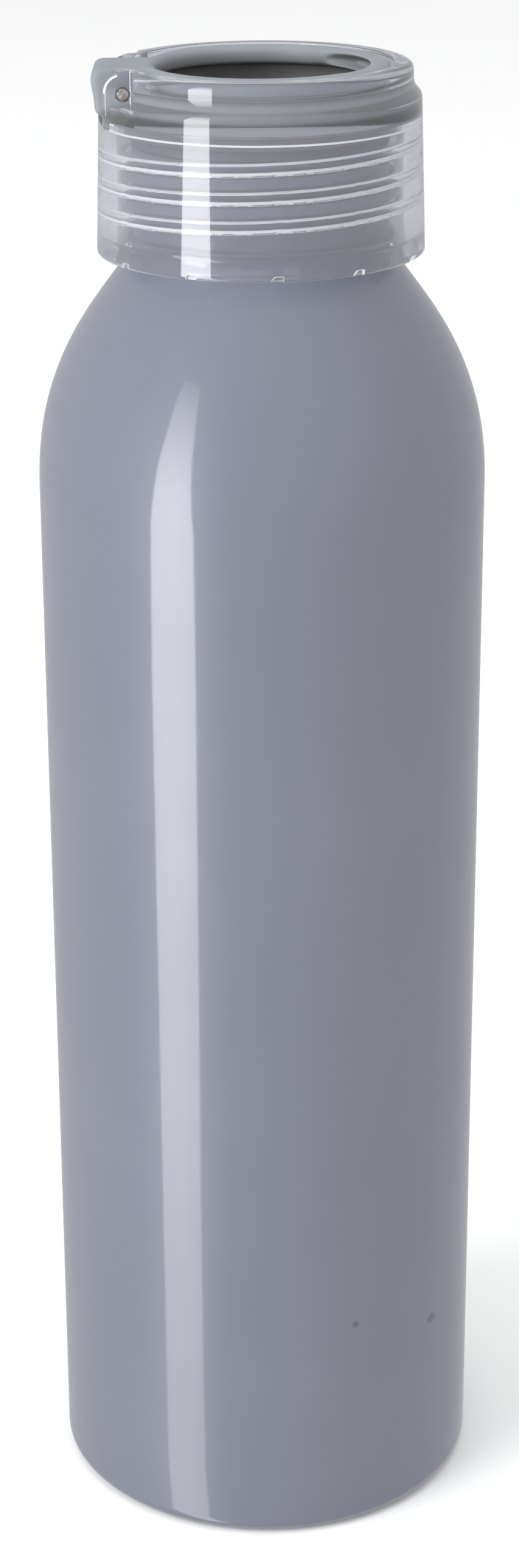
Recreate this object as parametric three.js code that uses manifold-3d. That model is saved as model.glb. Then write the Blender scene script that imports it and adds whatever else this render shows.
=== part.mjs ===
// Aluminium drinks bottle with a clear screw cap and a fold-flat carry ring.
// Units are mm. +Z runs up the bottle axis, the base stands on z = 0,
// the front is -Y and the ring's hinge is on the -X side.
import * as THREE from 'three';
import { mergeVertices } from 'three/addons/utils/BufferGeometryUtils.js';
import Module from 'manifold-3d';

const manifoldModule = await Module();
manifoldModule.setup();
const { Manifold, Mesh: ManifoldMesh } = manifoldModule;

// ---- body -----------------------------------------------------------------
const BODY_R = 33;
const BODY_WALL = 1.0;
const BASE_CORNER_R = 2.6;
const STAND_RING_INNER_R = 24.5;
// The inward dome of the base as [radius, drop below the dome's top].
const BASE_DOME_RISE = 6.5;
const BASE_DOME_STEPS = [
  [8, 0.5],
  [15, 2.0],
  [20, 4.2],
];
const BASE_DOME_FOOT = [22.8, 0.9];
const BASE_DOME_WALL = 1.4;
const DOME_FOOT_INSIDE_SHIFT = 0.4;
const STAND_RING_INSIDE_SHIFT = 0.5;
const SHOULDER_START_Z = 163.9;
const SHOULDER_SAMPLES = 8;
const SHOULDER_PULL_LOW_Z = 181.83;
const SHOULDER_PULL_HIGH = [24.05, 190.43];

// ---- neck -----------------------------------------------------------------
const NECK_TOP_OF_SHOULDER_R = 19.34;
const NECK_TOP_OF_SHOULDER_Z = 197.2;
const NECK_ROOT_R = 18.5;
const NECK_WALL = 1.4;
const NECK_ROOT_START_Z = 199.6;
const NECK_FOOT_FLARE = 0.25;
const NECK_FOOT_Z = 198.5;
const NECK_FOOT_INSIDE_DROP = 0.3;
const BEAD_R = 19.2;
const BEAD_Z = 200.8;
const BEAD_HALF_HEIGHT = 0.6;
const RIM_Z = 213.2;
const RIM_ROUND = 0.5;

// ---- thread ---------------------------------------------------------------
const THREAD_PITCH = 3.9;
const CAP_THREAD_FRONT_Z = 204.93;
const NECK_THREAD_FRONT_Z = 206.8;
const CAP_THREAD_CREST_R = 19.5;
const CAP_THREAD_ROOT_R = 20.6;
const NECK_THREAD_CREST_R = 20.1;
const CAP_THREAD_CREST_HALF = 0.45;
const CAP_THREAD_BASE_HALF = 0.95;
const NECK_THREAD_CREST_HALF = 0.7;
const NECK_THREAD_BASE_HALF = 1.05;
const CAP_THREAD_FROM_DEG = -120;
const CAP_THREAD_TO_DEG = 840;
const NECK_THREAD_FROM_DEG = -270;
const NECK_THREAD_TO_DEG = 420;
const THREAD_FADE_DEG = 40;
const THREAD_EMBED = 0.4;
const THREAD_STEPS_PER_TURN = 30;

// ---- cap ------------------------------------------------------------------
const SKIRT_BOTTOM_Z = 197.73;
const SKIRT_BOTTOM_R = 23.66;
const SKIRT_BOTTOM_ROUND = 0.5;
const SKIRT_FLARE_Z = 200.4;
const SKIRT_FLARE_MID = [21.2, 199.0];
const SKIRT_MOUTH_R = 21.5;
const SKIRT_MOUTH_CHAMFER = 0.3;
const SKIRT_BEND = [23.05, 217];
// The smooth double curve from the skirt's top in to the collar, as [radius, height].
const SKIRT_TO_COLLAR = [
  [22.95, 219.4],
  [22.84, 219.85],
  [22.58, 220.3],
  [22.2, 220.75],
  [21.95, 221.2],
  [21.82, 221.75],
  [21.75, 222.4],
];
// The collar's rounded top edge, up to the flat top, as [radius, height].
const COLLAR_TOP_EDGE = [
  [21.7, 223.2],
  [21.45, 223.9],
  [21.0, 224.28],
];
const COLLAR_TOP_FLAT_R = 20.4;
const CAP_TOP_Z = 224.4;
const RECESS_R = 18.95;
const RECESS_EDGE_CHAMFER = 0.25;
const RECESS_LOWER_R = 17.2;
const RECESS_LOWER_CHAMFER = 0.6;
const RING_LEDGE_Z = 221.55;
const DECK_TOP_Z = 217.9;
const DECK_UNDERSIDE_Z = 214.9;
const DECK_EDGE_R = 19.3;
const CORNER_GROOVE_R = 20.15;
const CORNER_GROOVE_TOP_Z = 217.0;
const CORNER_STEP_Z = 215.95;
const CORNER_STEP_DROP = 0.12;
const NOTCH_DEPTH_X = -26;
const ABOVE_CAP_Z = 226;
const RATCHET_COUNT = 12;
const RATCHET_FIRST_DEG = 5;
const RATCHET_WIDTH = 1.7;
const RATCHET_HEIGHT = 0.8;
const RATCHET_DEPTH = 0.7;
const RATCHET_FLAT_SHARE = 0.4;
const RATCHET_SLOPE_SHARE = 0.6;
const TOOL_OVERSHOOT = 0.5;

// ---- hinge ----------------------------------------------------------------
const PIN_X = -19.25;
const PIN_Z = 221.1;
const PIN_R = 0.9;
const PIN_HALF_LENGTH = 8.3;
const PIN_END_CHAMFER = 0.15;
const KNUCKLE_BORE_R = 0.95;
const LUG_BORE_R = 1.08;
const LUG_INNER_Y = 6.0;
const LUG_OUTER_Y = 8.5;
const LUG_ROUND_R = 2.85;
const LUG_BOTTOM_Z = 219.25;
const LUG_INNER_X = -17.0;
const LUG_INNER_TOP_Z = 222.4;
const LUG_ROOT_DEPTH = 1.5;
const FACE_NOTCH_X = -17.6;
const FACE_NOTCH_Y = 14;
const SLOT_FLOOR_Z = 218.95;
const SLOT_INNER_X = -15.5;
const POCKET_R = 5.55;
const POCKET_FLOOR_Z = 216.05;
const POCKET_INNER_X = -14.5;

// ---- carry ring -----------------------------------------------------------
const RING_HOLE_R = 14.8;
const RING_OUTER_R = 18.5;
const RING_BOTTOM_Z = 221.86;
const RING_TOP_Z = 224.3;
const RING_EDGE_ROUND = 0.5;
const RING_INNER_EDGE_R = 1.4;
const RING_TRIM_CENTRE_X = 7.0;
const RING_TRIM_R = 23.4;
const KNUCKLE_HALF_WIDTH = 5.7;
const SCOOP_MID_R = 14.5;
const SCOOP_MID_Z = 222.95;
const SCOOP_RADII = [2.1, 5.2, 1.0];
const SCOOP_ANGLES_DEG = [-20, -3, 14, 32];

// ---- seal disc ------------------------------------------------------------
const SEAL_R = 18.5;
const SEAL_BOTTOM_Z = 213.3;
const SEAL_TOP_Z = 214.8;
const SEAL_EDGE_CHAMFER = 0.25;

const SEGMENTS = 40;
const PIN_SEGMENTS = 24;
const POCKET_SEGMENTS = 36;
const RING_TRIM_SEGMENTS = 60;
const SHORT_EDGE = 1e-4;

const MATERIALS = {
  paint: { color: 0x8a8e9a, roughness: 0.25, metalness: 0.35 },
  clear: { color: 0xd2d4de, roughness: 0.05, metalness: 0.0, transparent: true, opacity: 0.45 },
  ringGrey: { color: 0xa0a6ac, roughness: 0.5, metalness: 0.0 },
  steel: { color: 0xa8a49c, roughness: 0.35, metalness: 0.9 },
  seal: { color: 0x7d848c, roughness: 0.8, metalness: 0.0 },
};

function toSolid(geometry) {
  const bare = new THREE.BufferGeometry();
  bare.setAttribute('position', cornerPositions(geometry));
  const merged = mergeVertices(bare, SHORT_EDGE);
  const index = merged.index.array;
  const kept = [];
  for (let i = 0; i < index.length; i += 3) {
    const [a, b, c] = [index[i], index[i + 1], index[i + 2]];
    if (a !== b && b !== c && a !== c) {
      kept.push(a, b, c);
    }
  }
  const build = (triangles) =>
    new Manifold(
      new ManifoldMesh({
        numProp: 3,
        vertProperties: new Float32Array(merged.attributes.position.array),
        triVerts: new Uint32Array(triangles),
      }),
    );
  const solid = build(kept);
  if (solid.volume() > 0) {
    return solid;
  }
  for (let i = 0; i < kept.length; i += 3) {
    [kept[i + 1], kept[i + 2]] = [kept[i + 2], kept[i + 1]];
  }
  return build(kept);
}

function cornerPositions(geometry) {
  const flat = geometry.index ? geometry.toNonIndexed() : geometry;
  return flat.attributes.position.clone();
}

function toGeometry(solid) {
  const mesh = solid.getMesh();
  const geometry = new THREE.BufferGeometry();
  geometry.setAttribute('position', new THREE.BufferAttribute(new Float32Array(mesh.vertProperties), 3));
  geometry.setIndex(new THREE.BufferAttribute(new Uint32Array(mesh.triVerts), 1));
  geometry.computeVertexNormals();
  return geometry;
}

function named(name, solid, material) {
  const mesh = new THREE.Mesh(toGeometry(solid), new THREE.MeshStandardMaterial(MATERIALS[material]));
  mesh.name = name;
  return mesh;
}

// Turns a list of [radius, height] about the Z axis.
function turnedGeometry(profile, segments = SEGMENTS) {
  const points = profile.map(([r, z]) => new THREE.Vector2(r, z));
  const geometry = new THREE.LatheGeometry(points, segments);
  return geometry.rotateX(Math.PI / 2);
}

function turned(profile) {
  return toSolid(turnedGeometry(profile));
}

// A slab in the XZ plane, given as [x, z] corners, between two Y values.
function slabGeometry(corners, yLow, yHigh) {
  const shape = new THREE.Shape(corners.map(([x, z]) => new THREE.Vector2(x, z)));
  const geometry = new THREE.ExtrudeGeometry(shape, { depth: yHigh - yLow, bevelEnabled: false });
  return geometry.rotateX(Math.PI / 2).translate(0, yHigh, 0);
}

function slabAlongY(corners, yLow, yHigh) {
  return toSolid(slabGeometry(corners, yLow, yHigh));
}

function block(xLow, xHigh, yLow, yHigh, zLow, zHigh) {
  const geometry = new THREE.BoxGeometry(xHigh - xLow, yHigh - yLow, zHigh - zLow);
  geometry.translate((xLow + xHigh) / 2, (yLow + yHigh) / 2, (zLow + zHigh) / 2);
  return toSolid(geometry);
}

function rodAlongY(radius, x, z, halfLength, segments = PIN_SEGMENTS) {
  const geometry = new THREE.CylinderGeometry(radius, radius, 2 * halfLength, segments);
  geometry.translate(x, 0, z);
  return toSolid(geometry);
}

function arc(centreR, centreZ, radius, fromDeg, toDeg, steps) {
  const points = [];
  for (let i = 0; i <= steps; i += 1) {
    const angle = THREE.MathUtils.degToRad(fromDeg + ((toDeg - fromDeg) * i) / steps);
    points.push([centreR + radius * Math.cos(angle), centreZ + radius * Math.sin(angle)]);
  }
  return points;
}

// A straight ridge bent into a helix. Angle runs from the front (-Y) towards +X,
// so the ridge climbs to the right seen from the front, as a right-hand thread does.
function helixRidge({ rootR, crestR, rootHalf, crestHalf, frontZ, fromDeg, toDeg }) {
  const outwards = Math.sign(crestR - rootR);
  const buriedR = rootR - outwards * THREAD_EMBED;
  const shape = new THREE.Shape([
    new THREE.Vector2(buriedR, -rootHalf),
    new THREE.Vector2(rootR, -rootHalf),
    new THREE.Vector2(crestR, -crestHalf),
    new THREE.Vector2(crestR, crestHalf),
    new THREE.Vector2(rootR, rootHalf),
    new THREE.Vector2(buriedR, rootHalf),
  ]);
  const span = toDeg - fromDeg;
  const steps = Math.round((span / 360) * THREAD_STEPS_PER_TURN);
  const geometry = new THREE.ExtrudeGeometry(shape, { depth: span, steps, bevelEnabled: false });
  const position = geometry.attributes.position;
  for (let i = 0; i < position.count; i += 1) {
    const along = position.getZ(i);
    const fade = Math.min(1, along / THREAD_FADE_DEG, (span - along) / THREAD_FADE_DEG);
    const height = (position.getX(i) - rootR) * outwards;
    const radius = height > 0 ? rootR + outwards * height * Math.max(fade, 0.02) : position.getX(i);
    const angle = THREE.MathUtils.degToRad(fromDeg + along);
    const z = frontZ + (THREAD_PITCH * (fromDeg + along)) / 360 + position.getY(i);
    position.setXYZ(i, radius * Math.sin(angle), -radius * Math.cos(angle), z);
  }
  return toSolid(geometry);
}

function shoulderCurve() {
  return new THREE.CubicBezierCurve(
    new THREE.Vector2(BODY_R, SHOULDER_START_Z),
    new THREE.Vector2(BODY_R, SHOULDER_PULL_LOW_Z),
    new THREE.Vector2(...SHOULDER_PULL_HIGH),
    new THREE.Vector2(NECK_TOP_OF_SHOULDER_R, NECK_TOP_OF_SHOULDER_Z),
  );
}

// The outside of the shoulder, or the inside when inset is the wall's thickness.
function shoulderPoints(inset) {
  const curve = shoulderCurve();
  const points = [];
  for (let i = 0; i <= SHOULDER_SAMPLES; i += 1) {
    const t = i / SHOULDER_SAMPLES;
    const p = curve.getPoint(t);
    const d = curve.getTangent(t);
    points.push([p.x - inset * d.y, p.y + inset * d.x]);
  }
  return points;
}

function bottleBody() {
  const cornerCentreR = BODY_R - BASE_CORNER_R;
  const outside = [
    [0, BASE_DOME_RISE],
    ...BASE_DOME_STEPS.map(([r, drop]) => [r, BASE_DOME_RISE - drop]),
    BASE_DOME_FOOT,
    [STAND_RING_INNER_R, 0],
    ...arc(cornerCentreR, BASE_CORNER_R, BASE_CORNER_R, -90, 0, 6),
    ...shoulderPoints(0),
    [NECK_ROOT_R + NECK_FOOT_FLARE, NECK_FOOT_Z],
    [NECK_ROOT_R, NECK_ROOT_START_Z],
    [NECK_ROOT_R, BEAD_Z - BEAD_HALF_HEIGHT],
    [BEAD_R, BEAD_Z - BEAD_HALF_HEIGHT * 0.5],
    [BEAD_R, BEAD_Z + BEAD_HALF_HEIGHT * 0.5],
    [NECK_ROOT_R, BEAD_Z + BEAD_HALF_HEIGHT],
    [NECK_ROOT_R, RIM_Z - RIM_ROUND],
    [NECK_ROOT_R - RIM_ROUND * 0.3, RIM_Z - RIM_ROUND * 0.3],
    [NECK_ROOT_R - RIM_ROUND, RIM_Z],
  ];
  const innerNeckR = NECK_ROOT_R - NECK_WALL;
  const innerDomeTop = BASE_DOME_RISE + BASE_DOME_WALL;
  const inside = [
    [innerNeckR + RIM_ROUND, RIM_Z],
    [innerNeckR, RIM_Z - RIM_ROUND],
    [innerNeckR, NECK_ROOT_START_Z],
    [innerNeckR + NECK_FOOT_FLARE, NECK_FOOT_Z - NECK_FOOT_INSIDE_DROP],
    ...shoulderPoints(BODY_WALL).reverse(),
    ...arc(cornerCentreR, BASE_CORNER_R, BASE_CORNER_R - BODY_WALL, 0, -90, 5),
    [STAND_RING_INNER_R + STAND_RING_INSIDE_SHIFT, BODY_WALL],
    [BASE_DOME_FOOT[0] + DOME_FOOT_INSIDE_SHIFT, BASE_DOME_FOOT[1] + BODY_WALL],
    ...BASE_DOME_STEPS.map(([r, drop]) => [r, innerDomeTop - drop]).reverse(),
    [0, innerDomeTop],
  ];
  const shell = turned([...outside, ...inside]);
  const thread = helixRidge({
    rootR: NECK_ROOT_R,
    crestR: NECK_THREAD_CREST_R,
    rootHalf: NECK_THREAD_BASE_HALF,
    crestHalf: NECK_THREAD_CREST_HALF,
    frontZ: NECK_THREAD_FRONT_Z,
    fromDeg: NECK_THREAD_FROM_DEG,
    toDeg: NECK_THREAD_TO_DEG,
  });
  return shell.add(thread);
}

function capShell() {
  return turned([
    [0, DECK_UNDERSIDE_Z],
    [DECK_EDGE_R, DECK_UNDERSIDE_Z],
    [DECK_EDGE_R, CORNER_GROOVE_TOP_Z],
    [CORNER_GROOVE_R, CORNER_GROOVE_TOP_Z],
    [CORNER_GROOVE_R, CORNER_STEP_Z],
    [CAP_THREAD_ROOT_R, CORNER_STEP_Z - CORNER_STEP_DROP],
    [CAP_THREAD_ROOT_R, SKIRT_FLARE_Z],
    SKIRT_FLARE_MID,
    [SKIRT_MOUTH_R, SKIRT_BOTTOM_Z + SKIRT_MOUTH_CHAMFER],
    [SKIRT_MOUTH_R + SKIRT_MOUTH_CHAMFER, SKIRT_BOTTOM_Z],
    [SKIRT_BOTTOM_R - SKIRT_BOTTOM_ROUND, SKIRT_BOTTOM_Z],
    [SKIRT_BOTTOM_R - SKIRT_BOTTOM_ROUND * 0.25, SKIRT_BOTTOM_Z + SKIRT_BOTTOM_ROUND * 0.3],
    [SKIRT_BOTTOM_R, SKIRT_BOTTOM_Z + SKIRT_BOTTOM_ROUND],
    SKIRT_BEND,
    ...SKIRT_TO_COLLAR,
    ...COLLAR_TOP_EDGE,
    [COLLAR_TOP_FLAT_R, CAP_TOP_Z],
    [RECESS_R + RECESS_EDGE_CHAMFER, CAP_TOP_Z],
    [RECESS_R, CAP_TOP_Z - RECESS_EDGE_CHAMFER],
    [RECESS_R, RING_LEDGE_Z],
    [RECESS_LOWER_R, RING_LEDGE_Z],
    [RECESS_LOWER_R, DECK_TOP_Z + RECESS_LOWER_CHAMFER],
    [RECESS_LOWER_R - RECESS_LOWER_CHAMFER, DECK_TOP_Z],
    [0, DECK_TOP_Z],
  ]);
}

function lugOutline() {
  const top = arc(PIN_X, PIN_Z, LUG_ROUND_R, 180, 40, 10);
  return [
    [LUG_INNER_X, LUG_BOTTOM_Z - LUG_ROOT_DEPTH],
    [PIN_X - LUG_ROUND_R, LUG_BOTTOM_Z - LUG_ROOT_DEPTH],
    ...top,
    [LUG_INNER_X, LUG_INNER_TOP_Z],
  ];
}

function ratchetNotch(index) {
  const low = SKIRT_BOTTOM_Z - TOOL_OVERSHOOT;
  const high = SKIRT_BOTTOM_Z + RATCHET_HEIGHT;
  const half = RATCHET_WIDTH / 2;
  const corners = [
    [-half, low],
    [half, low],
    [half, high],
    [-half * RATCHET_FLAT_SHARE, high],
    [-half, high - RATCHET_HEIGHT * RATCHET_SLOPE_SHARE],
  ];
  const geometry = slabGeometry(corners, -SKIRT_BOTTOM_R - 1, -SKIRT_BOTTOM_R + RATCHET_DEPTH);
  geometry.rotateZ(THREE.MathUtils.degToRad(RATCHET_FIRST_DEG + (index * 360) / RATCHET_COUNT));
  return toSolid(geometry);
}

function screwCap() {
  let cap = capShell();
  for (const side of [-1, 1]) {
    const near = side * LUG_OUTER_Y;
    const far = side * FACE_NOTCH_Y;
    const [low, high] = [Math.min(near, far), Math.max(near, far)];
    const faceNotch = block(NOTCH_DEPTH_X, FACE_NOTCH_X, low, high, LUG_BOTTOM_Z, ABOVE_CAP_Z);
    cap = cap.subtract(faceNotch);
    const inner = side * LUG_INNER_Y;
    cap = cap.add(slabAlongY(lugOutline(), Math.min(inner, near), Math.max(inner, near)));
  }
  const opening = (innerX, floorZ) =>
    block(NOTCH_DEPTH_X, innerX, -LUG_INNER_Y, LUG_INNER_Y, floorZ, ABOVE_CAP_Z);
  const slot = opening(SLOT_INNER_X, SLOT_FLOOR_Z);
  const pocketBounds = opening(POCKET_INNER_X, POCKET_FLOOR_Z);
  const pocket = rodAlongY(POCKET_R, PIN_X, PIN_Z, LUG_INNER_Y, POCKET_SEGMENTS).intersect(pocketBounds);
  cap = cap.subtract(slot).subtract(pocket);
  cap = cap.subtract(rodAlongY(LUG_BORE_R, PIN_X, PIN_Z, LUG_OUTER_Y + 1));
  cap = cap.subtract(Manifold.union(Array.from({ length: RATCHET_COUNT }, (_, i) => ratchetNotch(i))));
  const thread = helixRidge({
    rootR: CAP_THREAD_ROOT_R,
    crestR: CAP_THREAD_CREST_R,
    rootHalf: CAP_THREAD_BASE_HALF,
    crestHalf: CAP_THREAD_CREST_HALF,
    frontZ: CAP_THREAD_FRONT_Z,
    fromDeg: CAP_THREAD_FROM_DEG,
    toDeg: CAP_THREAD_TO_DEG,
  });
  return cap.add(thread);
}

// The hole's rounded upper edge, from its wall up to the ring's top.
function holeEdge() {
  return arc(RING_HOLE_R + RING_INNER_EDGE_R, RING_TOP_Z - RING_INNER_EDGE_R, RING_INNER_EDGE_R, 180, 90, 5);
}

function ringAnnulus() {
  const e = RING_EDGE_ROUND;
  const annulus = turned([
    [RING_HOLE_R, RING_BOTTOM_Z + e],
    [RING_HOLE_R + e, RING_BOTTOM_Z],
    [RING_OUTER_R - e * 0.5, RING_BOTTOM_Z],
    [RING_OUTER_R, RING_BOTTOM_Z + e * 0.5],
    [RING_OUTER_R, RING_TOP_Z - e],
    [RING_OUTER_R - e * 0.3, RING_TOP_Z - e * 0.3],
    [RING_OUTER_R - e, RING_TOP_Z],
    ...holeEdge().reverse(),
    [RING_HOLE_R, RING_BOTTOM_Z + e],
  ]);
  const trimGeometry = new THREE.CylinderGeometry(RING_TRIM_R, RING_TRIM_R, 10, RING_TRIM_SEGMENTS);
  trimGeometry.rotateX(Math.PI / 2);
  trimGeometry.translate(RING_TRIM_CENTRE_X, 0, RING_BOTTOM_Z);
  return annulus.intersect(toSolid(trimGeometry));
}

// Side outline of the tab that wraps the pin, as [x, z].
function knuckleOutline() {
  return [
    [-14.2, RING_TOP_Z - 0.7],
    [-15.2, RING_TOP_Z],
    [-22.9, RING_TOP_Z + 0.05],
    [-23.35, 224.15],
    [-23.7, 223.7],
    [-23.88, 222.9],
    [-23.88, 222.2],
    [-23.75, 221.3],
    [-23.5, 220.3],
    [-23.35, 219.6],
    [-23.35, 218.55],
    [-23.0, 218.05],
    [-22.5, 217.75],
    [-21.2, 217.9],
    [-18.0, 219.25],
    [-17.3, 219.6],
    [-16.6, 221.2],
    [-15.9, RING_BOTTOM_Z],
    [-14.6, RING_BOTTOM_Z],
    [-14.2, RING_BOTTOM_Z + 0.5],
  ];
}

// A groove along the hole's wall opposite the hinge, made of overlapping ellipsoids.
function fingerScoop() {
  const bites = SCOOP_ANGLES_DEG.map((angle) => {
    const geometry = new THREE.SphereGeometry(1, 20, 10);
    geometry.scale(...SCOOP_RADII);
    geometry.translate(SCOOP_MID_R, 0, SCOOP_MID_Z);
    geometry.rotateZ(THREE.MathUtils.degToRad(angle));
    return toSolid(geometry);
  });
  return Manifold.union(bites);
}

function carryRing() {
  const knuckle = slabAlongY(knuckleOutline(), -KNUCKLE_HALF_WIDTH, KNUCKLE_HALF_WIDTH);
  const hole = turned([
    [0, RING_BOTTOM_Z - 1],
    [RING_HOLE_R, RING_BOTTOM_Z - 1],
    ...holeEdge(),
    [RING_HOLE_R + RING_INNER_EDGE_R, RING_TOP_Z + 1],
    [0, RING_TOP_Z + 1],
  ]);
  return ringAnnulus()
    .add(knuckle.subtract(hole))
    .subtract(fingerScoop())
    .subtract(rodAlongY(KNUCKLE_BORE_R, PIN_X, PIN_Z, KNUCKLE_HALF_WIDTH + 1));
}

function hingePin() {
  const c = PIN_END_CHAMFER;
  const geometry = turnedGeometry(
    [
      [0, -PIN_HALF_LENGTH],
      [PIN_R - c, -PIN_HALF_LENGTH],
      [PIN_R, -PIN_HALF_LENGTH + c],
      [PIN_R, PIN_HALF_LENGTH - c],
      [PIN_R - c, PIN_HALF_LENGTH],
      [0, PIN_HALF_LENGTH],
    ],
    PIN_SEGMENTS,
  );
  return toSolid(geometry.rotateX(Math.PI / 2).translate(PIN_X, 0, PIN_Z));
}

function sealDisc() {
  const c = SEAL_EDGE_CHAMFER;
  return turned([
    [0, SEAL_BOTTOM_Z],
    [SEAL_R - c, SEAL_BOTTOM_Z],
    [SEAL_R, SEAL_BOTTOM_Z + c],
    [SEAL_R, SEAL_TOP_Z - c],
    [SEAL_R - c, SEAL_TOP_Z],
    [0, SEAL_TOP_Z],
  ]);
}

const bottle = new THREE.Group();
bottle.name = 'drinks_bottle';
bottle.add(named('bottle_body', bottleBody(), 'paint'));
bottle.add(named('screw_cap', screwCap(), 'clear'));
bottle.add(named('seal_disc', sealDisc(), 'seal'));
bottle.add(named('carry_ring', carryRing(), 'ringGrey'));
bottle.add(named('hinge_pin', hingePin(), 'steel'));

export default bottle;
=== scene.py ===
"""Looks for a metal drinks bottle with a clear screw cap and a fold-flat carry ring.

Every length below is in millimetres unless its name ends in _M. Meshes are scaled to metres when made.
The frame is the CAD's: +Z up the bottle, base on z = 0, front towards -Y, hinge on the -X side.
"""

import math

import bmesh
import bpy
from mathutils import Matrix, Vector, noise


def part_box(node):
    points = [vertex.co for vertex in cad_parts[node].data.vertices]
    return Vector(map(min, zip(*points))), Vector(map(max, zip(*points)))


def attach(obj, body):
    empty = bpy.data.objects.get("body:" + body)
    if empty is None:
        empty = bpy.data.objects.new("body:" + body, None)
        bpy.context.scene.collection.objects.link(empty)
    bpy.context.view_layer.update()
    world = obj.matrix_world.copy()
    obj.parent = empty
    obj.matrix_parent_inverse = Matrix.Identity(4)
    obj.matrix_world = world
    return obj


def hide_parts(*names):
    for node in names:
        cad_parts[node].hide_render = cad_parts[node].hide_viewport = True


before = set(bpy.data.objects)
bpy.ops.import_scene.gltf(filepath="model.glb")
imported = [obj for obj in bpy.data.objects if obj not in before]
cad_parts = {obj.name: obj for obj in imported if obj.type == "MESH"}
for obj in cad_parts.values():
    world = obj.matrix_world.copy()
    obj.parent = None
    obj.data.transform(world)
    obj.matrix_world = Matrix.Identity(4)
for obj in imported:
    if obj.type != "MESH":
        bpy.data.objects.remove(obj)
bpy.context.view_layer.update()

MM = 0.001
TURN_STEPS = 192
FINE_TURN_STEPS = 240

# ---- sizes read from the CAD ----------------------------------------------
BODY_LOW, BODY_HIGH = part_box("bottle_body")
BODY_R = (BODY_HIGH[0] - BODY_LOW[0]) / 2 / MM
RIM_Z = BODY_HIGH[2] / MM
CAP_LOW, CAP_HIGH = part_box("screw_cap")
SKIRT_BOTTOM_Z = CAP_LOW[2] / MM
CAP_TOP_Z = CAP_HIGH[2] / MM
SEAL_LOW, SEAL_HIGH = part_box("seal_disc")
PIN_LOW, PIN_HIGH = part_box("hinge_pin")
PIN_X = (PIN_LOW[0] + PIN_HIGH[0]) / 2 / MM
PIN_Z = (PIN_LOW[2] + PIN_HIGH[2]) / 2 / MM
PIN_R = (PIN_HIGH[2] - PIN_LOW[2]) / 2 / MM
PIN_HALF = PIN_HIGH[1] / MM

# ---- bottle ---------------------------------------------------------------
BODY_WALL = 1.0
BASE_CORNER_R = 2.6
STAND_RING_INNER_R = 24.5
BASE_DOME_RISE = 6.5
BASE_BLEND_Z = 12.0
# Two small dark marks on the paint, each as its centre and its radii.
PAINT_MARKS = [((13.65, -30.04, 36.6), (0.55, 0.55, 0.55)), ((26.05, -20.26, 31.8), (1.5, 1.1, 0.8))]
SHOULDER_STEPS = 44
SHOULDER = [(BODY_R, 163.9), (BODY_R, 181.83), (24.05, 190.43), (19.34, 197.2)]
NECK_R = 18.5
NECK_WALL = 1.4
NECK_FOOT_Z = 199.6
BOTTLE_STEPS = 224
BEAD_Z = 200.8
BEAD_HALF = 0.62
BEAD_HEIGHT = 0.7
BEAD_STEPS = 12

# ---- threads --------------------------------------------------------------
THREAD_PITCH = 3.9
THREAD_STEPS = 120
THREAD_FADE_DEG = 40
THREAD_EMBED = 0.4
THREAD_CORNER_R = 0.22
CAP_BORE_R = 20.6
CAP_THREAD_CREST_R = 19.5
CAP_THREAD = {
    "root": CAP_BORE_R,
    "crest": CAP_THREAD_CREST_R,
    "root_half": 0.95,
    "crest_half": 0.45,
    "front_z": 204.93,
    "start": -120,
    "end": 840,
}
NECK_THREAD = {
    "root": NECK_R,
    "crest": 20.1,
    "root_half": 1.05,
    "crest_half": 0.7,
    "front_z": 206.8,
    "start": -270,
    "end": 420,
}

# ---- cap ------------------------------------------------------------------
SKIRT_BOTTOM_R = 23.66
SKIRT_TOP_R = 22.95
SKIRT_SHOULDER_Z = 220.0
SKIRT_MOUTH_Z = 200.4
SKIRT_FLARE_Z = 198.5
COLLAR_FOOT_R = 21.78
COLLAR_TOP_R = 21.66
COLLAR_FOOT_Z = 221.2
RECESS_R = 18.95
RECESS_LOWER_R = 17.2
LEDGE_Z = 221.55
DECK_TOP_Z = 217.9
DECK_UNDER_Z = 214.9
DECK_EDGE_R = 19.3
CORNER_GROOVE_R = 20.15
CORNER_GROOVE_TOP_Z = 217.0
CORNER_STEP_Z = 215.95
RATCHETS = 12
RATCHET_FIRST_DEG = 5.0
RATCHET_HALF_WIDTH = 0.85
RATCHET_HEIGHT = 0.8
RATCHET_DEPTH = 0.7
RATCHET_SLOPE = 0.5

# ---- hinge ----------------------------------------------------------------
LUG_INNER_Y = 6.0
LUG_OUTER_Y = 8.5
LUG_R = 2.85
LUG_BOTTOM_Z = 219.25
LUG_BORE_R = 1.08
LUG_ROOT_X = -16.6
LUG_FOOT_DEPTH = 1.6
LUG_ROOT_RISE = 1.6
LUG_ROUNDING = 1.1
NOTCH_X = -17.6
NOTCH_PAST_Y = 15.0
SLOT_INNER_X = -15.5
SLOT_FLOOR_Z = 218.95
POCKET_R = 5.55
POCKET_INNER_X = -14.5
POCKET_FLOOR_Z = 216.05
CUT_PAST_X = -27.0
CUT_PAST_Z = 227.0

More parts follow.
